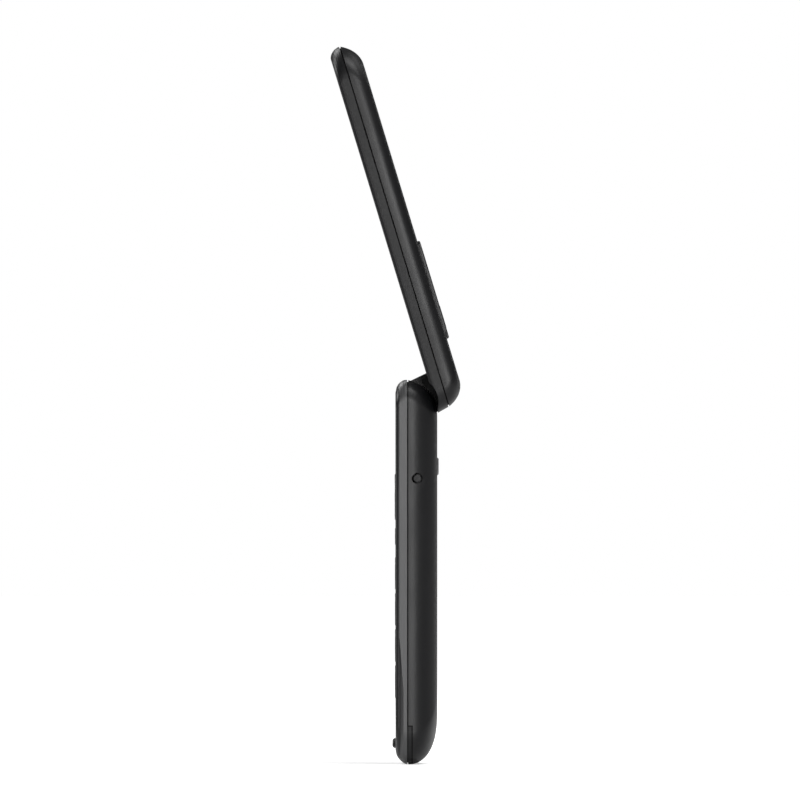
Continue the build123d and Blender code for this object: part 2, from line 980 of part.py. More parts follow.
def make_volume_rocker():
    """Long key on the left side that rocks about its middle."""
    low = volume_height - volume_length / 2
    high = volume_height + volume_length / 2
    cap = block(
        -side_face - volume_proud, -flange_seat, side_key_depth - volume_width / 2,
        side_key_depth + volume_width / 2, low, high,
    )
    cap = fillet(cap.edges().filter_by(Axis.X), volume_corner)
    rim = cap.faces().sort_by(Axis.X)[0].edges()
    cap = fillet(rim, key_edge)
    flange = block(
        -flange_seat, flange_plate - flange_seat, side_key_depth - volume_flange,
        side_key_depth + volume_flange, low - volume_flange_reach, high + volume_flange_reach,
    )
    return cap + flange


def make_rear_key():
    """Wide key on the back with a sloping edge."""
    seat = base_depth - cover_wall - rear_key_gap
    cap = pad(
        seat, base_depth + rear_key_proud, 0, rear_key_height, rear_key_width,
        rear_key_length, rear_key_corner,
    )
    rim = cap.faces().sort_by(Axis.Y)[-1].edges()
    cap = chamfer(rim, rear_key_slope)
    grown = 2 * rear_flange_reach
    flange = pad(
        seat - flange_plate, seat, 0, rear_key_height, rear_key_width + grown,
        rear_key_length + grown, rear_key_corner + rear_flange_reach,
    )
    return cap + flange


def make_nav_ring():
    """Four-way ring round the middle key."""
    ring = pad(-nav_proud, fascia_thickness, 0, nav_row, nav_width, nav_height, nav_corner)
    ring = fillet(ring.faces().sort_by(Axis.Y)[0].edges(), key_edge)
    grown = 2 * nav_clearance
    return ring - pad(
        -cut_over, fascia_thickness + cut_over, 0, nav_row, ok_width + grown, ok_height + grown,
        ok_corner + nav_clearance,
    )


def make_nav_plate():
    """Rocker plate that carries the four-way ring."""
    rear = nav_plate_depth + nav_plate_thickness
    grown = 2 * key_flange_reach
    plate = pad(
        nav_plate_depth, rear, 0, nav_row, nav_width + grown, nav_height + grown,
        nav_corner + key_flange_reach,
    )
    opened = 2 * nav_plate_gap
    return plate - pad(
        nav_plate_depth - cut_over, rear + cut_over, 0, nav_row, ok_width + opened,
        ok_height + opened, ok_corner + nav_plate_gap,
    )


def make_ok_key():
    """Middle key inside the four-way ring."""
    cap = pad(-nav_proud, key_flange_rear, 0, nav_row, ok_width, ok_height, ok_corner)
    return fillet(cap.faces().sort_by(Axis.Y)[0].edges(), key_edge)


def make_bumpers():
    """Two rubber domes that the shut lid rests against."""
    domes = []
    for x in mirrored(bumper_offset):
        stud = through(bumper_radius, -bumper_proud, bumper_seat, x, bumper_height)
        domes.append(fillet(stud.faces().sort_by(Axis.Y)[0].edges(), bumper_round))
    return Compound(children=domes)


# Lid, drawn shut

def scallops(wall=0.0):
    """Hollows in the lid that the ears turn in, one each side of the knuckle."""
    inner = knuckle_width / 2 - scallop_overlap - wall
    return both_sides(across(scallop_radius + wall, inner, base_width, hinge_depth, hinge_height))


def window_seat(clearance):
    """Rectangular seat of the display window, through the wall of the inner case."""
    low = window_centre - window_height / 2 - clearance
    high = window_centre + window_height / 2 + clearance
    return slab(
        lid_depth_at(lid_wall + cut_over), lid_depth_at(-cut_over), window_width / 2 + clearance,
        low, high, window_corner + clearance,
    )


def make_lid_inner_case():
    """Display side of the lid, with the window's seat and the earpiece slot."""
    case = lid_band_form()
    hollow = slab(
        lid_depth_at(lid_band + cut_over), lid_depth_at(lid_wall), base_width / 2 - case_wall,
        lid_tip_wall, lid_length - case_end_wall,
        bottom_corner_radius - case_wall, top_corner_radius - case_wall,
    )
    case -= hollow - scallops(lid_wall)
    case -= scallops()
    case -= window_seat(stack_gap)
    case -= pad(
        lid_depth_at(lid_wall + cut_over), lid_depth_at(-cut_over), 0, earpiece_height, slot_width,
        slot_height, slot_height * 0.49,
    )
    for x in mirrored(plug_offset):
        case += through(plug_boss, lid_depth_at(lid_band), lid_depth_at(lid_wall / 2), x, plug_height)
        case -= through(plug_radius, lid_depth_at(plug_seat), lid_depth_at(-cut_over), x, plug_height)
        case -= through(screw_radius, lid_depth_at(lid_band), lid_depth_at(0), x, plug_height)
    case -= edge_groove(lid_depth_at(lid_band), lid_length - lid_end_slope)
    return case


def make_display_window():
    """Clear plate over the main display."""
    low = window_centre - window_height / 2
    high = window_centre + window_height / 2
    plate = slab(
        lid_depth_at(window_thickness), lid_depth_at(0), window_width / 2, low, high, window_corner,
    )
    return fillet(plate.faces().sort_by(Axis.Y)[-1].edges(), window_edge)


def make_display():
    """Main display module behind its window."""
    front = window_thickness + display_gap
    return pad(
        lid_depth_at(front + display_thickness), lid_depth_at(front), 0, window_centre,
        display_width, display_height, display_corner,
    )


def make_lid_board():
    """Circuit board between the two displays."""
    front = window_thickness + display_gap + display_thickness + lid_board_gap
    less = 2 * lid_board_inset
    board = pad(
        lid_depth_at(front + lid_board_thickness), lid_depth_at(front), 0,
        window_centre, display_width - less, display_height - less, lid_board_corner,
    )
    hole = 2 * (lens_radius + camera_margin + pocket_clearance)
    return board - pad(
        lid_depth_at(lid_depth), lid_depth_at(0), 0, lens_height, hole, hole, camera_margin,
    )


def panel_pad(offset_a, offset_b, step=0.0):
    """Rounded rectangle of the raised panel between two offsets from the lid's inner face."""
    return pad(
        lid_depth_at(offset_a), lid_depth_at(offset_b), 0, panel_tip + panel_length / 2,
        panel_width - 2 * step, panel_length - 2 * step, panel_corner - step,
    )


def make_lid_outer_case():
    """Outer shell of the lid, with the seat of the raised panel."""
    shell = lid_shell_form(0)
    shell -= lid_shell_form(lid_wall)
    shell -= panel_pad(lid_depth + cut_over, lid_depth - lid_wall - cut_over, panel_step)
    shell -= panel_pad(lid_depth + cut_over, lid_depth - panel_sink)
    for x in mirrored(plug_offset):
        post = through(lid_post, lid_depth_at(lid_depth), lid_depth_at(lid_band), x, plug_height)
        shell += post & lid_shell_form(lid_wall / 2)
        shell -= through(
            screw_radius, lid_depth_at(lid_band + lid_screw_bite), lid_depth_at(0), x, plug_height,
        )
    shell -= edge_groove(lid_depth_at(lid_band), lid_length - lid_end_slope)
    return shell


def make_outer_panel():
    """Raised glossy panel over the small display and the camera."""
    panel = panel_pad(lid_depth + panel_proud, lid_depth - panel_sink)
    panel = fillet(panel.faces().sort_by(Axis.Y)[0].edges(), panel_edge)
    panel += panel_pad(lid_depth - panel_sink, lid_depth - panel_seat, panel_step)
    hole = through(
        lens_radius, lid_depth_at(lid_depth + panel_proud + cut_over), lid_depth_at(0), 0,
        lens_height,
    )
    return panel - hole


def make_outer_display():
    """Small display behind the raised panel."""
    rear = lid_depth - panel_seat - stack_gap
    return pad(
        lid_depth_at(rear), lid_depth_at(rear - outer_display_thickness), 0,
        panel_tip + outer_display_low + outer_display_height / 2,
        panel_width - 2 * outer_display_inset, outer_display_height, display_corner,
    )


def make_camera():
    """Camera module that stands behind its lens."""
    front = window_thickness + display_gap + display_thickness + lid_board_gap + stack_gap
    half = lens_radius + camera_margin
    body = block(
        -half, half, lid_depth_at(lid_depth - camera_drop), lid_depth_at(front),
        lens_height - half, lens_height + half,
    )
    barrel = through(
        lens_radius - barrel_inset, lid_depth_at(lid_depth - lens_proud), lid_depth_at(front), 0,
        lens_height,
    )
    return body + barrel


def make_lens():
    """Round lens cover that sits in the raised panel."""
    lens = through(
        lens_radius, lid_depth_at(lid_depth + panel_proud + lens_proud),
        lid_depth_at(lid_depth - lens_proud), 0, lens_height,
    )
    return fillet(lens.faces().sort_by(Axis.Y)[0].edges(), lens_edge)


def make_earpiece():
    """Earpiece capsule behind its slot."""
    return pad(
        lid_depth_at(lid_wall + earpiece_depth), lid_depth_at(lid_wall), 0, earpiece_height,
        earpiece_width, earpiece_tall, earpiece_corner,
    )


def make_earpiece_mesh():
    """Perforated strip in the earpiece slot."""
    strip = pad(
        lid_depth_at(lid_wall), lid_depth_at(mesh_sink), 0, earpiece_height,
        slot_width, slot_height, slot_height * 0.49,
    )
    for step in range(mesh_holes):
        x = (step - (mesh_holes - 1) / 2) * mesh_pitch
        strip -= through(
            mesh_hole, lid_depth_at(lid_wall + cut_over), lid_depth_at(-cut_over), x, earpiece_height,
        )
    return strip


def make_lid_screws():
    """Two screws near the tip of the lid."""
    screws = []
    for x in mirrored(plug_offset):
        head = through(
            screw_head_radius, lid_depth_at(plug_seat), lid_depth_at(plug_thickness + stack_gap), x,
            plug_height,
        )
        shank = through(
            screw_radius, lid_depth_at(lid_band + lid_screw_bite), lid_depth_at(plug_seat), x,
            plug_height,
        )
        screws.append(head + shank)
    return Compound(children=screws)


def make_screw_plugs():
    """Two flush rubber plugs over the lid's screws."""
    plugs = []
    for x in mirrored(plug_offset):
        plug = through(
            plug_radius, lid_depth_at(plug_thickness + stack_gap), lid_depth_at(stack_gap), x,
            plug_height,
        )
        plugs.append(plug)
    return Compound(children=plugs)


def make_knuckle():
    """Middle barrel of the hinge, with the foot that joins it to the lid."""
    half = knuckle_width / 2
    barrel = across(knuckle_radius, -half, half, hinge_depth, hinge_height)
    lean = radians(foot_lean)
    leave_depth = hinge_depth + knuckle_radius * sin(lean)
    leave_drop = knuckle_radius * cos(lean)
    foot = Plane.YZ * make_face(Polyline(
        (at_depth(leave_depth), at_height(hinge_height - leave_drop)),
        (at_depth(foot_corner_depth), at_height(hinge_height - foot_corner_drop)),
        (at_depth(-closed_gap), at_height(hinge_height - foot_face_drop)),
        (at_depth(-closed_gap), at_height(hinge_height + foot_face_rise)),
        (at_depth(hinge_depth), at_height(hinge_height + knuckle_radius)),
        close=True,
    ))
    solid = barrel + Pos(-half, 0, 0) * extrude(foot, amount=knuckle_width, dir=(1, 0, 0))
    solid -= across(cartridge_radius, cartridge_inner, half + cut_over, hinge_depth, hinge_height)
    solid -= across(
        bush_radius + running_clearance, -half - cut_over, -bush_inner, hinge_depth, hinge_height,
    )
    return solid


def make_cartridge():
    """Friction cartridge inside the right half of the barrel."""
    body = across(
        cartridge_radius, cartridge_inner, knuckle_width / 2 - post_gap, hinge_depth, hinge_height,
    )
    return body - across(
        pin_radius + running_clearance, pin_inner - cut_over, knuckle_width, hinge_depth,
        hinge_height,
    )


def make_pin():
    """Hinge pin, fixed in the right ear."""
    return across(pin_radius, pin_inner, ear_outer, hinge_depth, hinge_height)


def make_bush():
    """Hollow bush in the left ear, which the flat cable passes through."""
    tube = across(
        bush_radius, -ear_outer, -bush_inner - pocket_clearance, hinge_depth, hinge_height,
    )
    return tube - across(bush_bore, -ear_outer - cut_over, 0, hinge_depth, hinge_height)


def make_keypad_layers():
    """Soft mat under the keys and the sheet of switches behind it."""
    low = number_bottom_row - number_height / 2 - mat_margin
    high = nav_row + nav_height / 2 + mat_top_margin
    mat = slab(plate_rear, mat_rear, board_half_width, low, high, mat_corner)
    sheet = slab(
        mat_rear, board_front, board_half_width - sheet_inset, low + sheet_inset,
        high - sheet_inset, mat_corner - sheet_inset / 2,
    )
    return {"keypad_mat": mat, "switch_sheet": sheet}


def make_sound_parts():
    """Microphone at the lower end and loudspeaker beside the rear key."""
    microphone = through(microphone_radius, plate_rear, board_front, 0, microphone_height)
    speaker = pad(
        chassis_rear, base_depth - cover_wall - post_gap, (speaker_inner + speaker_outer) / 2,
        speaker_middle, speaker_outer - speaker_inner,
        notch_floor - speaker_top - contacts_top - speaker_low, speaker_corner,
    )
    return {"microphone": microphone, "loudspeaker": speaker}


def make_lower_parts():
    """Antenna carrier and vibration motor below the battery."""
    antenna = block(
        -antenna_left, antenna_right, chassis_rear, chassis_rear + antenna_thickness,
        antenna_low, battery_bottom - antenna_gap,
    )
    height = battery_bottom - motor_drop
    motor = across(
        motor_radius, motor_start, motor_start + motor_length, chassis_rear + motor_radius, height,
    )
    clamp = block(
        motor_start - post_thickness, motor_start - post_thickness + motor_clamp, chassis_rear,
        chassis_rear + motor_radius, height - motor_radius, height + motor_radius,
    )
    return {"antenna_carrier": antenna, "vibration_motor": motor + clamp}


def make_sim_parts():
    """Card holder on the board and the card in it."""
    card_front = board_rear + sim_holder_thickness
    holder = block(
        -sim_width / 2 - sim_frame, sim_width / 2 + sim_frame, board_rear, card_front,
        sim_bottom - sim_frame, sim_bottom + sim_height + sim_frame,
    )
    card = slab(
        card_front, card_front + sim_thickness, sim_width / 2, sim_bottom, sim_bottom + sim_height,
        sim_corner,
    )
    return {"sim_holder": holder, "sim_card": card}


# Every node of the part, by name

def make_base_nodes():
    """Nodes that stay with the keypad half."""
    nodes = {
        "keypad_fascia": make_fascia(),
        "base_front_case": make_front_case(),
        "base_chassis": make_chassis(),
        "battery_cover": make_cover(),
        "battery_pack": make_battery(),
        "battery_contacts": make_contacts(),
        "main_board": make_main_board(),
        "board_shields": make_shields(),
        "charging_socket": make_usb(),
        "headset_socket": make_jack(),
        "base_bumpers": make_bumpers(),
        "base_screws": make_screws(),
        "hinge_pin": make_pin(),
        "hinge_bush": make_bush(),
        "side_key": make_side_key(),
        "rear_key": make_rear_key(),
        "volume_rocker": make_volume_rocker(),
        "nav_plate": make_nav_plate(),
        "nav_ring": make_nav_ring(),
        "ok_key": make_ok_key(),
    }
    nodes.update(make_keypad_layers())
    nodes.update(make_sound_parts())
    nodes.update(make_lower_parts())
    nodes.update(make_sim_parts())
    for name, x, height, width, tall, radius in key_places():
        nodes[name] = make_key(x, height, width, tall, radius)
    return nodes


def make_lid_nodes():
    """Nodes that turn with the lid, still drawn shut."""
    return {
        "lid_inner_case": make_lid_inner_case(),
        "lid_outer_case": make_lid_outer_case(),
        "display_window": make_display_window(),
        "display_module": make_display(),
        "lid_board": make_lid_board(),
        "outer_panel": make_outer_panel(),
        "outer_display": make_outer_display(),
        "camera_module": make_camera(),
        "camera_lens": make_lens(),
        "earpiece": make_earpiece(),
        "earpiece_mesh": make_earpiece_mesh(),
        "lid_screws": make_lid_screws(),
        "screw_plugs": make_screw_plugs(),
        "hinge_knuckle": make_knuckle(),
        "hinge_cartridge": make_cartridge(),
    }


def main():
    """Write one STEP file for each node."""
    os.makedirs("parts", exist_ok=True)
    nodes = make_base_nodes()
    for name, solid in make_lid_nodes().items():
        nodes[name] = solid.rotate(hinge_axis, -open_angle)
    for name, solid in nodes.items():
        export_step(solid, f"parts/{name}.step")
    print(len(nodes), "nodes")


main()
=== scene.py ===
# %% [markdown]
# # A clamshell phone, finished in Blender
# The imported model already holds every moulding, key and hinge part at its real size. This
# notebook gives those parts their surfaces, prints the legends on the keys, and sets up a plain
# studio: a pale floor, soft lamps and a long-lens camera level with the phone.
#
# ## The imported parts
# Each part arrives as one object, in its place and at its real size. The parts could be modelled
# again in Blender, but then two shapes would have to be kept alike, so nothing here moves or
# reshapes them. The box round them is measured at once. The Standard view shows a colour as it
# is written, which makes dark plastics easier to judge.

# %% Load the frame
import json
import math
import bpy
from mathutils import Matrix, Vector


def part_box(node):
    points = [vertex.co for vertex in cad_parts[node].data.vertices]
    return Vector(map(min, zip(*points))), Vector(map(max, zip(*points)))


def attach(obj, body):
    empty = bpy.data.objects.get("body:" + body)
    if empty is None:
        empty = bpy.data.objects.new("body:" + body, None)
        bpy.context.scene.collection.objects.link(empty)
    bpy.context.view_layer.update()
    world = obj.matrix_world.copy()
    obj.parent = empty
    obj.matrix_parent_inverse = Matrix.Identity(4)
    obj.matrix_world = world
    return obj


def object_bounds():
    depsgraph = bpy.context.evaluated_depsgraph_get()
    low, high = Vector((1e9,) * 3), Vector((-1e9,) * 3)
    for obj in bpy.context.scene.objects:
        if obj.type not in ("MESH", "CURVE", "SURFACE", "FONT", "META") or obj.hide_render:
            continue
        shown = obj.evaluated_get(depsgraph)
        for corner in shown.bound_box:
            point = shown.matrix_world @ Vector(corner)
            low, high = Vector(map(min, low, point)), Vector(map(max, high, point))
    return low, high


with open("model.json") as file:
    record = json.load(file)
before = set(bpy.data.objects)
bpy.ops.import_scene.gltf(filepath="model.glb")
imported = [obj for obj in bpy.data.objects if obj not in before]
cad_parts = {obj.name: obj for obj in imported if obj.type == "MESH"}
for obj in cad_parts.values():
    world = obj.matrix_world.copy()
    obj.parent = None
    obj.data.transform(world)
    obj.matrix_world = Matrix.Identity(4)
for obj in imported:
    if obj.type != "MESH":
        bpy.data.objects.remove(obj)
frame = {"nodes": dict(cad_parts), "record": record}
cad_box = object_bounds()
nodes = frame["nodes"]
scene = bpy.context.scene
scene.view_settings.view_transform = "Standard"
print("nodes", len(nodes), "box", [[round(v, 4) for v in corner] for corner in cad_box])

# %% [markdown]
# ## Units and places
# The frame is in metres, while a phone is thought of in millimetres, so one factor converts them.
# The finishes need a few places on the phone: the hinge line, the angle to which the lid opens,
# the front face with the keys, and the line where the battery cover meets the keypad half. They
# could be written down as numbers, but they are read from the frame, so that they follow the part
# if its sizes change. Sizes that only one finish needs are named in the cell of that finish.

# %% Units and places
MM = 0.001
joints = {joint["name"]: joint for joint in frame["record"]["behaviour"]["joints"]}
HINGE = Vector(joints["lid_hinge"]["pos_m"])
OPEN_ANGLE = math.radians(joints["lid_hinge"]["range_deg"][1])
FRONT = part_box("keypad_fascia")[0].y
BASE_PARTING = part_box("battery_cover")[0].y
print("hinge at", [round(v, 4) for v in HINGE], "front face at", round(FRONT, 4))

# %% [markdown]
# ## Node helpers
# A finish is a small network of shader nodes. It could be wired by hand in the shader editor, but
# the phone has more than twenty finishes that differ only in their amounts, so the wiring is
# written once in code. The helpers add a node with its settings, fill a socket with a link or a
# number, do sums, map a range smoothly, mix two colours, and make noise.

# %% Sockets and sums
def add_node(tree, kind, **settings):
    """A shader node with its properties set."""
    node = tree.nodes.new("ShaderNode" + kind)
    for title, value in settings.items():
        setattr(node, title, value)
    return node


def feed(tree, socket, value):
    """Link an output into an input, or set the input to a plain value."""
    if isinstance(value, bpy.types.NodeSocket):
        tree.links.new(value, socket)
    else:
        socket.default_value = value


def calc(tree, operation, first, second=0.0):
    """A sum of two outputs or numbers."""
    node = add_node(tree, "Math", operation=operation)
    feed(tree, node.inputs[0], first)
    feed(tree, node.inputs[1], second)
    return node.outputs[0]


def distance(tree, value, place):
    """How far a coordinate is from a place, on either side."""
    return calc(tree, "ABSOLUTE", calc(tree, "SUBTRACT", value, place))


print("helpers", add_node.__name__, feed.__name__, calc.__name__, distance.__name__)

# %% Ranges, colours and noise
def ramp(tree, value, low, high, start=0.0, end=1.0):
    """A value mapped smoothly from one range to another."""
    node = add_node(tree, "MapRange", interpolation_type="SMOOTHSTEP")
    feed(tree, node.inputs["Value"], value)
    limits = {"From Min": low, "From Max": high, "To Min": start, "To Max": end}
    for title, number in limits.items():
        node.inputs[title].default_value = number
    return node.outputs[0]


def mix_colour(tree, factor, first, second):
    """Two colours mixed by a mask."""
    node = add_node(tree, "Mix", data_type="RGBA")
    feed(tree, node.inputs["Factor"], factor)
    for title, colour in (("A", first), ("B", second)):
        value = colour if isinstance(colour, bpy.types.NodeSocket) else (*colour, 1.0)
        feed(tree, node.inputs[title], value)
    return node.outputs["Result"]


def cloud(tree, place, scale, detail, distortion=0.0):
    """Noise that swings about one half."""
    node = add_node(tree, "TexNoise")
    feed(tree, node.inputs["Vector"], place)
    feed(tree, node.inputs["Scale"], scale)
    node.inputs["Detail"].default_value = detail
    node.inputs["Distortion"].default_value = distortion
    return node.outputs[0]


print("helpers", ramp.__name__, mix_colour.__name__, cloud.__name__)

# %% [markdown]
# ## Shader groups
# Every moulding of the phone shares a few effects, such as its grain and the marks of hands. They
# could be copied into each material. A shader group is built once and placed with each material's
# own amounts, so a change to it reaches every finish. One helper makes an empty group with named
# inputs and outputs, and another one places it.

# %% Group helpers
def new_group(name, inputs, outputs):
    """An empty shader group of plain numbers."""
    group = bpy.data.node_groups.new(name, "ShaderNodeTree")
    for title, value in inputs.items():
        socket = group.interface.new_socket(title, in_out="INPUT", socket_type="NodeSocketFloat")
        socket.default_value = value
    for title in outputs:
        group.interface.new_socket(title, in_out="OUTPUT", socket_type="NodeSocketFloat")
    return group, group.nodes.new("NodeGroupInput"), group.nodes.new("NodeGroupOutput")


def place_group(tree, group, **values):
    """A group node with its input values set."""
    node = add_node(tree, "Group", node_tree=group)
    for title, value in values.items():
        node.inputs[title].default_value = value
    return node


print("helpers", new_group.__name__, place_group.__name__)

# %% [markdown]
# ## Moulded grain
# A moulding tool is spark-eroded, and that leaves a fine pebbled texture on the plastic. It is
# far too small to model in the mesh, so noise drives a bump instead. A second and coarser noise,
# at about a third of the scale, keeps the pebbles from looking even. Stretch scales the height on
# the phone, so a small value draws the grain out along it, like the brushed paint of the side
# band.

# %% Moulded grain
GRAIN_SCALE = 2500.0
FINE_DETAIL, COARSE_DETAIL = 2.0, 1.0
COARSE_SHARE = 0.37


def build_grain():
    """Fine spark-eroded texture: two sizes of noise, centred on nought."""
    group, start, end = new_group(
        "moulded_grain", {"Scale": GRAIN_SCALE, "Stretch": 1.0}, ["Height"])
    place = add_node(group, "TexCoord")
    stretch = add_node(group, "CombineXYZ")
    for title, value in (("X", 1.0), ("Y", 1.0), ("Z", start.outputs["Stretch"])):
        feed(group, stretch.inputs[title], value)
    spot = add_node(group, "VectorMath", operation="MULTIPLY")
    feed(group, spot.inputs[0], place.outputs["Object"])
    feed(group, spot.inputs[1], stretch.outputs[0])
    heights = []
    for share, detail in ((1.0, FINE_DETAIL), (COARSE_SHARE, COARSE_DETAIL)):
        scale = calc(group, "MULTIPLY", start.outputs["Scale"], share)
        heights.append(cloud(group, spot.outputs[0], scale, detail))
    both = calc(group, "ADD", *heights)
    feed(group, end.inputs["Height"], calc(group, "SUBTRACT", both, 1.0))
    return group


GRAIN = build_grain()
print("group", GRAIN.name, "scale", GRAIN_SCALE)

# %% [markdown]
# ## Handling marks
# Hands leave broad soft patches on a phone, and finer prints inside them. Both change the gloss
# far more than the colour. They could be painted on an image, but noise covers every part without
# a seam: one noise makes the patches, and a finer one shows only where the patches are strong.
# The result swings about nought, so that it can be added to a finish's own roughness.

# %% Handling marks
PATCH_SCALE, PATCH_DETAIL, PATCH_DISTORTION = 45.0, 5.0, 0.8
PRINT_FINENESS, PRINT_DETAIL, PRINT_SHARE = 9.0, 3.0, 0.3
PRINT_FROM, PRINT_FULL = 0.5, 0.62


def build_handling():
    """Broad soft patches where hands have been, and finer prints inside them."""
    group, start, end = new_group("handling", {"Scale": PATCH_SCALE, "Amount": 1.0}, ["Change"])
    place = add_node(group, "TexCoord").outputs["Object"]
    patches = cloud(group, place, start.outputs["Scale"], PATCH_DETAIL, PATCH_DISTORTION)
    print_scale = calc(group, "MULTIPLY", start.outputs["Scale"], PRINT_FINENESS)
    prints = cloud(group, place, print_scale, PRINT_DETAIL)
    inside = calc(group, "MULTIPLY", ramp(group, patches, PRINT_FROM, PRINT_FULL), prints)
    broad = calc(group, "SUBTRACT", patches, 0.5)
    both = calc(group, "ADD", broad, calc(group, "MULTIPLY", inside, PRINT_SHARE))
    feed(group, end.inputs["Change"], calc(group, "MULTIPLY", both, start.outputs["Amount"]))
    return group


HANDLING = build_handling()
print("group", HANDLING.name, "scale", PATCH_SCALE)

# %% [markdown]
# ## Rubbed edges and dust
# The outer edges of a used phone are rubbed a little brighter, and dust gathers in its inner
# corners. Both could be painted by hand. The mesh already tells them apart by its Pointiness,
# which is high on outer edges and low in inner corners, so the masks follow the shape wherever it
# goes. Noise breaks them up, because real wear is never an even line.

# %% Edge rub and corner dust
BREAK_SCALE, BREAK_DETAIL = 350.0, 4.0
EDGE_RANGES = {"Rub": (0.52, 0.62), "Dust": (0.48, 0.40)}


def build_edges():
    """Masks of the sharpest outer edges and of the inner corners, broken up by noise."""
    group, start, end = new_group("edges", {"Rub": 1.0, "Dust": 1.0}, ["Rub", "Dust"])
    shape = add_node(group, "NewGeometry")
    place = add_node(group, "TexCoord").outputs["Object"]
    breaks = cloud(group, place, BREAK_SCALE, BREAK_DETAIL)
    for title, (low, high) in EDGE_RANGES.items():
        mask = ramp(group, shape.outputs["Pointiness"], low, high)
        broken = calc(group, "MULTIPLY", mask, breaks)
        feed(group, end.inputs[title], calc(group, "MULTIPLY", broken, start.outputs[title]))
    return group


EDGES = build_edges()
print("group", EDGES.name, "ranges of Pointiness", EDGE_RANGES)

# %% [markdown]
# ## Place in the lid
# The lid stands open at an angle, so its parting line and its windows don't follow the phone's
# own axes. They could be masked with a tilted box each. It is simpler to turn a point back about
# the hinge, as if the lid were shut, and to read its place there in millimetres: across the lid,
# along it from the hinge line towards the tip, and outwards from the face with the display.

# %% Lid coordinates
INNER_FACE = 5.6    # from the hinge line to the face with the display, in millimetres


def build_lid_place():
    """Coordinates of a point of the lid as if it were shut, in millimetres."""
    group, start, end = new_group("lid_place", {}, ["Across", "Along", "Outwards"])
    place = add_node(group, "TexCoord")
    moved = add_node(group, "VectorMath", operation="SUBTRACT")
    feed(group, moved.inputs[0], place.outputs["Object"])
    feed(group, moved.inputs[1], HINGE)
    turned = add_node(group, "Mapping", vector_type="POINT")
    turned.inputs["Rotation"].default_value = (OPEN_ANGLE, 0, 0)
    turned.inputs["Scale"].default_value = (1 / MM, 1 / MM, 1 / MM)
    feed(group, turned.inputs["Vector"], moved.outputs[0])
    parts = add_node(group, "SeparateXYZ")
    feed(group, parts.inputs[0], turned.outputs[0])
    feed(group, end.inputs["Across"], parts.outputs["X"])
    feed(group, end.inputs["Along"], calc(group, "MULTIPLY", parts.outputs["Z"], -1.0))
    depth = calc(group, "MULTIPLY", parts.outputs["Y"], -1.0)
    feed(group, end.inputs["Outwards"], calc(group, "SUBTRACT", depth, INNER_FACE))
    return group


LID_PLACE = build_lid_place()
print("group", LID_PLACE.name, "turned back by", round(math.degrees(OPEN_ANGLE), 1), "degrees")

# %% [markdown]
# ## Parting lines
# The shells of each half meet in a narrow groove. Shade falls deep inside it, so its inside is
# painted almost black as painted shade, and made matt. The groove is in the mesh, and its faces
# could have a material of their own, but the imported mesh doesn't set them apart, so a mask finds
# them by their place. At the foot of the battery cover a pry slot opens from the groove, and the
# same painted shade draws its outline as a dark line. The sizes are in millimetres.

# %% Dark lines
GROOVE_HALF, GROOVE_END = 0.14, 0.20    # full within the first, gone at the second
LID_PARTING = 3.2    # outwards from the face with the display
PRY_DEPTH = 1.2      # behind the parting line
PRY_HEIGHT = 10.3    # above the foot
PRY_START = 14.0     # right of the middle, and from there to the side
PRY_SOFT, PRY_START_SOFT = 0.1, 0.2


def near_line(tree, value, place):
    """One where a coordinate in millimetres is within a hair of a line."""
    return ramp(tree, distance(tree, value, place), GROOVE_HALF, GROOVE_END, 1.0, 0.0)


def pry_slot(tree, across, depth, height):
    """Painted shade on the outline of the pry slot: an upright line behind the parting line, and a
    line over its top.
    """
    beside = ramp(tree, across, PRY_START * MM, (PRY_START + PRY_START_SOFT) * MM)
    below = ramp(tree, height, PRY_HEIGHT, PRY_HEIGHT + PRY_SOFT, 1.0, 0.0)
    half = PRY_DEPTH / 2
    within = ramp(tree, distance(tree, depth, half), half, half + PRY_SOFT, 1.0, 0.0)
    side = calc(tree, "MULTIPLY", near_line(tree, depth, PRY_DEPTH), below)
    top = calc(tree, "MULTIPLY", near_line(tree, height, PRY_HEIGHT), within)
    return calc(tree, "MULTIPLY", calc(tree, "MAXIMUM", side, top), beside)


print("groove_shade", 2 * GROOVE_HALF, "mm wide, pry slot", PRY_DEPTH, "by", PRY_HEIGHT, "mm")

# %% Seam masks
def build_seams():
    """Masks of the painted shade in the parting grooves of both halves, with the outline of the pry
    slot.
    """
    group, start, end = new_group("seam_shade", {}, ["Base", "Lid"])
    place = add_node(group, "TexCoord")
    parts = add_node(group, "SeparateXYZ")
    feed(group, parts.inputs[0], place.outputs["Object"])
    behind = calc(group, "SUBTRACT", parts.outputs["Y"], BASE_PARTING)
    above = calc(group, "SUBTRACT", parts.outputs["Z"], cad_box[0][2])
    depth, height = (calc(group, "MULTIPLY", value, 1 / MM) for value in (behind, above))
    slot = pry_slot(group, parts.outputs["X"], depth, height)
    feed(group, end.inputs["Base"], calc(group, "MAXIMUM", near_line(group, depth, 0.0), slot))
    outwards = place_group(group, LID_PLACE).outputs["Outwards"]
    feed(group, end.inputs["Lid"], near_line(group, outwards, LID_PARTING))
    return group


SEAM_SHADE = build_seams()
print("group", SEAM_SHADE.name, "for the two halves")

# %% [markdown]
# ## A moulded surface
# Nearly every part that shows is moulded or painted plastic. Each could have a network of its
# own, but they differ only in colour, gloss and amounts, so one function places the shared groups
# round a Principled shader. Settings that are the same all over a part, such as its reflection
# strength, are set on the shader's own sockets.

# %% Colour of a moulding
DUST_COLOUR = (0.16, 0.15, 0.14)
# Painted shade: nearly black, for the shade that falls inside the parting grooves and the pry
# slot's outline.
GROOVE_SHADE_COLOUR = (0.002, 0.002, 0.002)
RUB_GAIN, RUB_LIFT = 2.2, 0.02


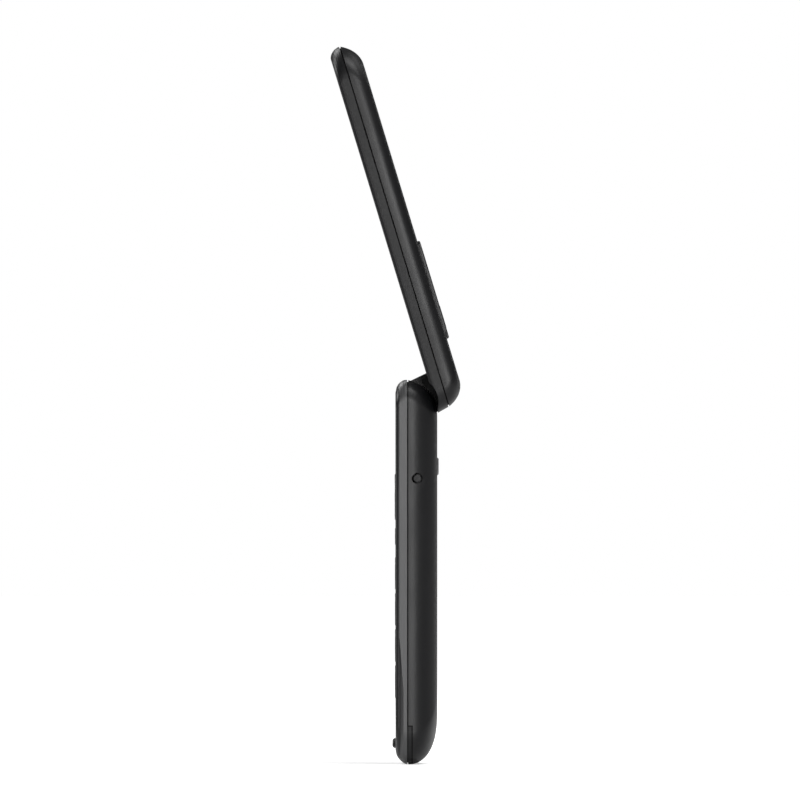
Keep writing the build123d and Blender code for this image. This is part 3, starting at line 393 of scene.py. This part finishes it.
def surface_colour(tree, colour, rub, dust, groove_shade):
    """A colour with rubbed edges and dusty corners, and painted shade, nearly black, in its groove.
    """
    edges = place_group(tree, EDGES, Rub=rub, Dust=dust)
    lighter = [min(1.0, value * RUB_GAIN + RUB_LIFT) for value in colour]
    rubbed = mix_colour(tree, edges.outputs["Rub"], colour, lighter)
    shade = mix_colour(tree, edges.outputs["Dust"], rubbed, DUST_COLOUR)
    # Painted shade: the groove is mixed towards nearly black.
    return mix_colour(tree, groove_shade, shade, GROOVE_SHADE_COLOUR) if groove_shade else shade


print("dust", DUST_COLOUR, "groove_shade", GROOVE_SHADE_COLOUR)

# %% Moulded plastic
BUMP_STRENGTH = 0.6


def moulded(name, colour, roughness, grain=0.02, grain_scale=GRAIN_SCALE, stretch=1.0,
            smudge=0.08, rub=0.25, dust=0.2, seam=None, **sockets):
    """A moulded or painted surface. Grain is its depth in millimetres, seam the groove whose
    painted shade it takes.
    """
    material = bpy.data.materials.new(name)
    material.use_nodes = True
    tree = material.node_tree
    shader = tree.nodes["Principled BSDF"]
    for title, value in sockets.items():
        shader.inputs[title.replace("_", " ")].default_value = value

    marks = place_group(tree, HANDLING, Amount=smudge)
    gloss = calc(tree, "ADD", marks.outputs["Change"], roughness)
    # The seam mask paints shade into the groove's colour and also makes the groove matt.
    groove_shade = place_group(tree, SEAM_SHADE).outputs[seam] if seam else None
    if groove_shade:
        gloss = calc(tree, "MAXIMUM", gloss, groove_shade)
    feed(tree, shader.inputs["Base Color"], surface_colour(tree, colour, rub, dust, groove_shade))
    feed(tree, shader.inputs["Roughness"], gloss)

    texture = place_group(tree, GRAIN, Scale=grain_scale, Stretch=stretch)
    bump = add_node(tree, "Bump")
    bump.inputs["Strength"].default_value = BUMP_STRENGTH
    bump.inputs["Distance"].default_value = grain * MM
    feed(tree, bump.inputs["Height"], texture.outputs["Height"])
    feed(tree, shader.inputs["Normal"], bump.outputs["Normal"])
    return material


print("helper", moulded.__name__, "with a bump of", BUMP_STRENGTH)

# %% [markdown]
# ## Finishes of the cases
# Three dark finishes meet on the outside: the shells of the lid and the battery are satin black,
# the skin round the keys is polished black, and the band along the side is painted dark grey,
# with a faint grain along the phone. One flat black would make them run together, so they differ
# in colour, gloss and reflection strength. The colours are very low, because black plastic shows
# mostly what it reflects. The inner frame and the rubber bumpers are plainer.

# %% Finishes of the cases
SATIN = ((0.004, 0.004, 0.0045), 0.42)
SATIN_MARKS = {"grain": 0.012, "smudge": 0.10, "rub": 0.2, "dust": 0.02, "Specular_IOR_Level": 0.27}
lid_satin = moulded("lid_satin", *SATIN, seam="Lid", **SATIN_MARKS)
finishes = {
    "gloss_black": moulded(
        "polished_black", (0.006, 0.006, 0.007), 0.38, grain=0.002, smudge=0.08, rub=0.12,
        dust=0.03, Specular_IOR_Level=0.3),
    "band_grey": moulded(
        "band_paint", (0.030, 0.030, 0.031), 0.42, grain=0.012, grain_scale=3800.0, stretch=0.06,
        smudge=0.08, rub=0.12, dust=0.03, seam="Base", Specular_IOR_Level=0.65),
    "satin_black": moulded("satin_black", *SATIN, seam="Base", **SATIN_MARKS),
    "frame_black": moulded("frame_black", (0.016, 0.016, 0.017), 0.5),
    "soft_rubber": moulded("soft_rubber", (0.014, 0.014, 0.014), 0.65, rub=0.1),
}
print("case finishes", list(finishes))

# %% [markdown]
# ## Finishes of the keys
# The caps on the front are glossy black, so that their pale legends stand out. The four-way ring
# is painted a bright metallic grey, and the keys on the back and the left side a darker one.
# Paint with metal flake could be drawn as specks, but they are too fine to see at this size, so a
# share of Metallic stands for them.

# %% Finishes of the keys
finishes.update({
    "key_grey": moulded(
        "key_paint", (0.075, 0.075, 0.078), 0.36, grain=0.006, rub=0.5, Metallic=0.2),
    "key_ring": moulded(
        "ring_paint", (0.30, 0.30, 0.31), 0.28, grain=0.005, rub=0.3, dust=0.05, Metallic=0.8),
    "key_black": moulded(
        "key_black", (0.011, 0.011, 0.012), 0.24, grain=0.005, rub=0.3, dust=0.1),
})
print("finishes so far", len(finishes))

# %% [markdown]
# ## Finishes of the inner parts
# Screws, boards, contacts, the battery and the display sit inside and show little or not at all.
# They could be left plain, but anyone who opens the model sees them, so each gets the colour and
# gloss of its real material through the same function. Metals have Metallic at one, and then
# their colour is the colour of their reflection.

# %% Finishes of the inner parts
finishes.update({
    "steel": moulded("bright_steel", (0.55, 0.55, 0.56), 0.28, Metallic=1.0),
    "tin_plate": moulded("tin_plate", (0.6, 0.6, 0.58), 0.38, Metallic=1.0),
    "contact_gold": moulded("contact_gold", (0.75, 0.55, 0.22), 0.25, Metallic=1.0),
    "board_green": moulded("board_green", (0.02, 0.12, 0.05), 0.35),
    "battery_wrap": moulded("battery_wrap", (0.11, 0.11, 0.12), 0.4),
    "silicone": moulded("silicone", (0.42, 0.42, 0.43), 0.5),
    "switch_film": moulded("switch_film", (0.65, 0.65, 0.62), 0.3),
    "card_white": moulded("card_white", (0.75, 0.75, 0.73), 0.4),
    "display_panel": moulded("display_panel", (0.02, 0.024, 0.028), 0.12, rub=0.0),
})
print("finishes so far", len(finishes))

# %% [markdown]
# ## Windows
# The plates over the two displays are glossy and nearly black. A border printed behind each plate
# is a little darker than the sleeping display inside it. Clear glass over a modelled print would
# show the same, but needs many light bounces for almost no light, so the plate is opaque and the
# border is a soft rectangular mask. The rim is ground matt, so only the flat face has the clear
# coat. All measures are in millimetres in the lid's own place.

# %% Window plates
MASK_SOFT = 0.15
FACE_COAT, COAT_ROUGHNESS, RIM_ROUGHNESS = 0.4, 0.03, 0.5


def lid_rectangle(tree, place, middle, half_across, half_along):
    """Mask of a rectangle on the lid, by its middle along the lid and its half sizes."""
    across, along = (
        ramp(tree, distance(tree, place.outputs[title], centre), half, half + MASK_SOFT, 1.0, 0.0)
        for title, centre, half in (("Across", 0.0, half_across), ("Along", middle, half_along)))
    return calc(tree, "MULTIPLY", across, along)


def window_plate(name, border, display, screen, face, roughness):
    """Glossy plate with a printed border round a sleeping display, and a matt rim."""
    material = moulded(name, border, roughness, grain=0.0004, smudge=0.06, rub=0.0, dust=0.0,
                       Coat_Roughness=COAT_ROUGHNESS)
    tree = material.node_tree
    shader = tree.nodes["Principled BSDF"]
    place = place_group(tree, LID_PLACE)
    on_screen = lid_rectangle(tree, place, *screen)
    on_face = lid_rectangle(tree, place, *face)
    feed(tree, shader.inputs["Base Color"], mix_colour(tree, on_screen, border, display))
    feed(tree, shader.inputs["Coat Weight"], calc(tree, "MULTIPLY", on_face, FACE_COAT))
    on_rim = calc(tree, "SUBTRACT", 1.0, on_face)
    rim = calc(tree, "MULTIPLY", on_rim, RIM_ROUGHNESS)
    gloss = shader.inputs["Roughness"].links[0].from_socket
    feed(tree, shader.inputs["Roughness"], calc(tree, "MAXIMUM", gloss, rim))
    return material


print("coat on the flat face", FACE_COAT, "roughness of the rim", RIM_ROUGHNESS)

# %% The two windows
# Each is its middle along the lid, half its width across, and half its length along.
WINDOW_SCREEN, WINDOW_FACE = (46.0, 20.5, 29.0), (46.0, 21.0, 29.5)
PANEL_SCREEN, PANEL_FACE = (32.1, 12.5, 6.0), (27.1, 15.3, 12.8)
finishes["window_glass"] = window_plate(
    "window_glass", (0.003, 0.003, 0.0035), (0.012, 0.014, 0.017), WINDOW_SCREEN, WINDOW_FACE, 0.04)
panel_plate = window_plate(
    "panel_plate", (0.004, 0.004, 0.0045), (0.011, 0.013, 0.016), PANEL_SCREEN, PANEL_FACE, 0.08)
print("window", WINDOW_FACE, "outer panel", PANEL_FACE)

# %% [markdown]
# ## Dressing the parts
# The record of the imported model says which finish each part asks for, so they needn't be listed
# again. Four parts get a finish of their own here: both lid shells need the lid's groove, the
# outer panel is a window plate, and the round side key matches the satin shell that it sits in.

# %% Dress the parts
slot_of = {entry["node"]: entry["material_slot"] for entry in frame["record"]["subparts"]}
special = {"outer_panel": panel_plate, "lid_inner_case": lid_satin, "lid_outer_case": lid_satin,
           "side_key": finishes["satin_black"]}
for name, node in nodes.items():
    node.data.materials.clear()
    node.data.materials.append(special.get(name) or finishes[slot_of[name]])
print("dressed", len(nodes), "parts,", len(special), "with a finish of their own")

# %% [markdown]
# ## Inks
# The legends are printed on the caps in a matt pale ink, with green for the call sign and red for
# the end sign. A flat bright colour would look stuck on, so the ink is made like the plastic,
# with a faint grain and a little unevenness.

# %% Inks
INK_ROUGHNESS = 0.5


def ink(name, colour):
    """Printing ink: matt and a little uneven."""
    return moulded(name, colour, INK_ROUGHNESS, grain=0.004, smudge=0.12, rub=0.0, dust=0.0)


LEGEND_INK = ink("legend_ink", (0.62, 0.62, 0.60))
CALL_INK = ink("call_ink", (0.03, 0.45, 0.08))
END_INK = ink("end_ink", (0.60, 0.03, 0.02))
print("inks", [material.name for material in (LEGEND_INK, CALL_INK, END_INK)])

# %% [markdown]
# ## Printing on a key
# A print is a very thin layer that moves with its key. It could be a mask in the key's material,
# but figures and letters are hard to draw with nodes, so each print is a flat outline that lies
# on the cap and rides on its body. Blender's own font gives the figures and letters, and a filled
# curve gives each sign. Places on a key are in millimetres from its middle, to the right and up.

# %% Laying a print on a key
INK_THICKNESS = 0.012 * MM


def lay_on_key(name, curve, material, node, x, z):
    """Lay a flat outline on the front of a key, facing the front, and let it ride on that key."""
    curve.extrude = INK_THICKNESS / 2
    curve.materials.append(material)
    piece = bpy.data.objects.new(name, curve)
    scene.collection.objects.link(piece)
    low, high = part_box(node)
    middle = (low + high) / 2
    spot = Vector((middle.x + x * MM, low.y - INK_THICKNESS / 2, middle.z + z * MM))
    piece.matrix_world = Matrix.Translation(spot) @ Matrix.Rotation(math.radians(90), 4, "X")
    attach(piece, node + "_body")


print("ink", round(INK_THICKNESS / MM, 3), "mm thick")

# %% Text and signs
def print_text(name, text, node, x, z, size):
    """A figure or word on a key, centred on its place."""
    curve = bpy.data.curves.new(name, "FONT")
    curve.body = text
    curve.size = size * MM
    curve.align_x = "CENTER"
    curve.align_y = "CENTER"
    lay_on_key(name, curve, LEGEND_INK, node, x, z)


def print_sign(name, points, node, x, z, material, turn=0.0):
    """A filled outline on a key, from its corner points in millimetres, turned and then centred."""
    angle = math.radians(turn)
    points = [(u * math.cos(angle) - v * math.sin(angle), u * math.sin(angle) + v * math.cos(angle))
              for u, v in points]
    middle_u, middle_v = ((min(values) + max(values)) / 2 for values in zip(*points))
    curve = bpy.data.curves.new(name, "CURVE")
    curve.dimensions = "2D"
    curve.fill_mode = "BOTH"
    spline = curve.splines.new("POLY")
    spline.points.add(len(points) - 1)
    for point, (u, v) in zip(spline.points, points):
        point.co = ((u - middle_u) * MM, (v - middle_v) * MM, 0, 1)
    spline.use_cyclic_u = True
    lay_on_key(name, curve, material, node, x, z)


print("helpers", print_text.__name__, print_sign.__name__)

# %% [markdown]
# ## Figures and letters
# A telephone keypad has a large figure on each key, with the letters small beside it on its
# right. The keys could be printed one by one, but they follow one layout, so two tables and two
# loops do it. A figure without letters stands in the middle of its key, and the keys with four
# letters get smaller ones, so that they don't crowd the figure.

# %% Figures and letters
FIGURE_SIZE, FIGURE_SHIFT = 5.6, -2.5
LETTER_SIZE, FOUR_LETTER_SIZE = 2.2, 1.95
LETTER_X, LETTER_Z = 2.7, -0.5
WORD_SIZE = 2.8
letters = {"key_2": "ABC", "key_3": "DEF", "key_4": "GHI", "key_5": "JKL", "key_6": "MNO",
           "key_7": "PQRS", "key_8": "TUV", "key_9": "WXYZ", "key_0": "+"}
figures = {f"key_{number}": str(number) for number in range(10)}
figures.update({"key_star": "*", "key_hash": "#"})
for node, figure in figures.items():
    shift = FIGURE_SHIFT if node in letters else 0.0
    print_text("figure_" + node, figure, node, shift, 0.0, FIGURE_SIZE)
for node, word in letters.items():
    size = LETTER_SIZE if len(word) < 4 else FOUR_LETTER_SIZE
    print_text("letters_" + node, word, node, LETTER_X, LETTER_Z, size)
print_text("word_ok", "OK", "ok_key", 0.0, 0.0, WORD_SIZE)
print("figures", len(figures), "letter groups", len(letters))

# %% [markdown]
# ## Signs
# The call and end keys carry a handset, the ring four arrows, and the soft keys a dash each.
# These are signs that every telephone has. They could be taken from a sign font, but that would
# have to come with the script, so they are drawn: the handset is a bowed handle from two arcs
# with a pad at each end, and the arrows and dashes are a few corner points.

# %% Handset outline
ARC_STEPS = 10
ARC_DROP = 0.8    # how far the arc's centre is lowered, as a share of its radius


def arc_points(radius, spread, drop):
    """Points of an arc that bows upwards, from left to right."""
    angles = [math.radians(90 + spread - 2 * spread * step / ARC_STEPS)
              for step in range(ARC_STEPS + 1)]
    return [(radius * math.cos(a), radius * math.sin(a) - drop) for a in angles]


def handset(radius=2.2, thickness=0.62, spread=50.0, pad_length=0.95, pad_reach=0.65):
    """Outline of a telephone handset: a bowed handle with a pad at each end."""
    drop = radius * ARC_DROP
    outer = arc_points(radius + thickness / 2, spread, drop)
    inner = arc_points(radius - thickness / 2, spread, drop)[::-1]
    edge, low = outer[-1][0], outer[-1][1] - pad_reach
    right = [(edge, low), (edge - pad_length, low), (edge - pad_length, inner[0][1])]
    left = [(-u, v) for u, v in reversed(right)]
    return outer + right + inner[1:-1] + left


print("handset of", len(handset()), "points")

# %% Signs on the keys
ARROW = [(-0.7, -0.35), (0.7, -0.35), (0.0, 0.45)]
ARROW_UP, ARROW_SIDE = 4.7, 8.1
DASH = [(-1.5, -0.18), (1.5, -0.18), (1.5, 0.18), (-1.5, 0.18)]
DASH_UP = 2.6
CALL_TURN = 125
print_sign("call_sign", handset(), "call_key", 0.0, 0.0, CALL_INK, CALL_TURN)
print_sign("end_sign", handset(), "end_key", 0.0, 0.0, END_INK)
arrows = {"up": (0, ARROW_UP, 0), "down": (0, -ARROW_UP, 180), "left": (-ARROW_SIDE, 0, 90),
          "right": (ARROW_SIDE, 0, -90)}
for name, (x, z, turn) in arrows.items():
    print_sign("arrow_" + name, ARROW, "nav_ring", x, z, finishes["key_black"], turn)
for side in ("left", "right"):
    print_sign("dash_" + side, DASH, "soft_key_" + side, 0.0, DASH_UP, LEGEND_INK)
prints = [piece.name for piece in scene.collection.objects if piece.type in {"FONT", "CURVE"}]
print("prints on the keys", len(prints))

# %% [markdown]
# ## White round the phone
# The photograph has a pure white background, yet its black plastics show almost nothing of it. A
# white world at full strength would grey the phone, so rays are told apart: camera rays and rays
# through glass see white, reflections see a weak white, and the light that falls on the phone is
# set apart from both.

# %% White seen by rays
SKY_LIGHT = 0.07
REFLECTED_WHITE = 0.07


def seen_by_rays(tree, plain):
    """One for camera and transmitted rays, less for reflections, and plain for the light itself."""
    rays = add_node(tree, "LightPath").outputs
    direct = calc(tree, "MAXIMUM", rays["Is Camera Ray"], rays["Is Transmission Ray"])
    glossy = calc(tree, "MULTIPLY", rays["Is Glossy Ray"], REFLECTED_WHITE)
    return calc(tree, "MAXIMUM", calc(tree, "MAXIMUM", direct, glossy), plain)


print("light of the sky", SKY_LIGHT, "white in reflections", REFLECTED_WHITE)

# %% [markdown]
# ## World
# A studio has pale walls all round, which send a little even light into every shadow. Walls could
# be modelled, but a world of one colour gives the same light from every side and stays out of
# each view.

# %% World
def build_world():
    """White to the camera, a plain even light to the phone."""
    world = bpy.data.worlds.new("studio")
    scene.world = world
    world.use_nodes = True
    tree = world.node_tree
    sky = tree.nodes["Background"]
    sky.inputs["Color"].default_value = (1, 1, 1, 1)
    feed(tree, sky.inputs["Strength"], seen_by_rays(tree, SKY_LIGHT))
    return world


print("world", build_world().name)

# %% [markdown]
# ## Floor
# The phone stands on a sheet of pale matt paper. Lit by the lamps alone it would come out grey
# towards the horizon, so for camera rays it also glows a little, more with distance, until it
# meets the white world without a line. Near the phone the glow is weak enough to keep the soft
# shadow.

# %% Floor paper
FLOOR_GREY, FLOOR_ROUGHNESS, FLOOR_SPECULAR = 0.80, 0.9, 0.1
GLOW_FROM, GLOW_FULL = 0.12, 0.9    # metres from the middle of the phone
GLOW_NEAR, GLOW_FAR = 0.45, 1.0


def floor_paper():
    """Pale matt paper that whitens away from the phone, for camera rays."""
    material = bpy.data.materials.new("floor_paper")
    material.use_nodes = True
    tree = material.node_tree
    shader = tree.nodes["Principled BSDF"]
    shader.inputs["Base Color"].default_value = (FLOOR_GREY, FLOOR_GREY, FLOOR_GREY, 1)
    shader.inputs["Roughness"].default_value = FLOOR_ROUGHNESS
    shader.inputs["Specular IOR Level"].default_value = FLOOR_SPECULAR
    shader.inputs["Emission Color"].default_value = (1, 1, 1, 1)
    away = add_node(tree, "VectorMath", operation="LENGTH")
    feed(tree, away.inputs[0], add_node(tree, "TexCoord").outputs["Object"])
    glow = ramp(tree, away.outputs["Value"], GLOW_FROM, GLOW_FULL, GLOW_NEAR, GLOW_FAR)
    seen = seen_by_rays(tree, 0.0)
    feed(tree, shader.inputs["Emission Strength"], calc(tree, "MULTIPLY", glow, seen))
    return material


print("paper glows from", GLOW_NEAR, "to", GLOW_FAR)

# %% Floor sheet
FLOOR_HALF = 6.0


def build_floor():
    """A flat sheet at the height of the phone's foot."""
    mesh = bpy.data.meshes.new("floor")
    corners = [(-1, -1), (1, -1), (1, 1), (-1, 1)]
    points = [(x * FLOOR_HALF, y * FLOOR_HALF, cad_box[0][2]) for x, y in corners]
    mesh.from_pydata(points, [], [(0, 1, 2, 3)])
    floor = bpy.data.objects.new("floor", mesh)
    scene.collection.objects.link(floor)
    mesh.materials.append(floor_paper())
    return floor


print(build_floor().name, "at height", round(cad_box[0][2], 4))

# %% [markdown]
# ## Lamps
# A product photograph is lit by large soft boxes, which leave broad soft highlights on dark
# plastic. Small lamps would leave hard dots, so every lamp is a rectangle that faces the phone.
# The key lamp stands on the camera's side, the front and left lamps light the faces that other
# views show, the top and back lamps light the shoulders, and a tall narrow one draws the line
# along the rear edge.

# %% A soft box
LAMPS_FACE = Vector((0, -0.010, 0.045))


def softbox(name, azimuth, height, away, width, tall, power):
    """A soft lamp that faces the phone. Azimuth is from +X, positive towards the back."""
    data = bpy.data.lights.new(name, "AREA")
    data.shape = "RECTANGLE"
    data.size = width
    data.size_y = tall
    data.energy = power
    lamp = bpy.data.objects.new(name, data)
    scene.collection.objects.link(lamp)
    angle = math.radians(azimuth)
    lamp.location = LAMPS_FACE + Vector((math.cos(angle) * away, math.sin(angle) * away, height))
    lamp.rotation_euler = (LAMPS_FACE - lamp.location).to_track_quat("-Z", "Y").to_euler()


print("lamps face", [round(v, 3) for v in LAMPS_FACE])

# %% Lamps
LAMPS = {    # azimuth in degrees; height, distance, width and tall in metres; power in watts
    "key_lamp": (18, 0.14, 1.3, 0.5, 0.3, 11.0),
    "front_lamp": (-105, 0.50, 1.4, 0.8, 0.8, 13.0),
    "top_lamp": (52, 1.20, 0.70, 0.8, 0.7, 15.0),
    "back_lamp": (125, 1.00, 1.0, 0.6, 0.6, 2.2),
    "rim_lamp": (150, 0.10, 1.3, 0.05, 0.8, 0.4),
    "left_lamp": (218, 0.95, 1.0, 0.6, 0.6, 7.0),
}
for name, settings in LAMPS.items():
    softbox(name, *settings)
print("lamps", len(bpy.data.lights))

# %% [markdown]
# ## Camera
# The photograph looks square on at the phone's right side, with almost no perspective. A camera
# without any perspective would also fit, but the other views need a real lens, so the lens is
# very long and stands far away. Its distance follows from the width that the picture covers, and
# its middle is placed by the front face and by height.

# %% Camera
PHOTO_SPAN = 212.3
PHOTO_RIGHT, PHOTO_BEHIND_FRONT, PHOTO_HEIGHT = 13.0, 1.22, 45.67
LENS, SENSOR = 1200, 36.0
FAR_LIMIT = 50.0


def build_camera():
    """A long lens that looks square on at the phone's right side."""
    data = bpy.data.cameras.new("camera")
    data.lens = LENS
    data.sensor_width = SENSOR
    data.clip_end = FAR_LIMIT
    camera = bpy.data.objects.new("camera", data)
    scene.collection.objects.link(camera)
    away = PHOTO_SPAN * MM * LENS / SENSOR
    middle = Vector((PHOTO_RIGHT * MM, FRONT + PHOTO_BEHIND_FRONT * MM, PHOTO_HEIGHT * MM))
    camera.location = middle + Vector((away, 0, 0))
    camera.rotation_euler = (math.radians(90), 0, math.radians(90))
    scene.camera = camera
    return camera


print("camera at", [round(v, 3) for v in build_camera().location])
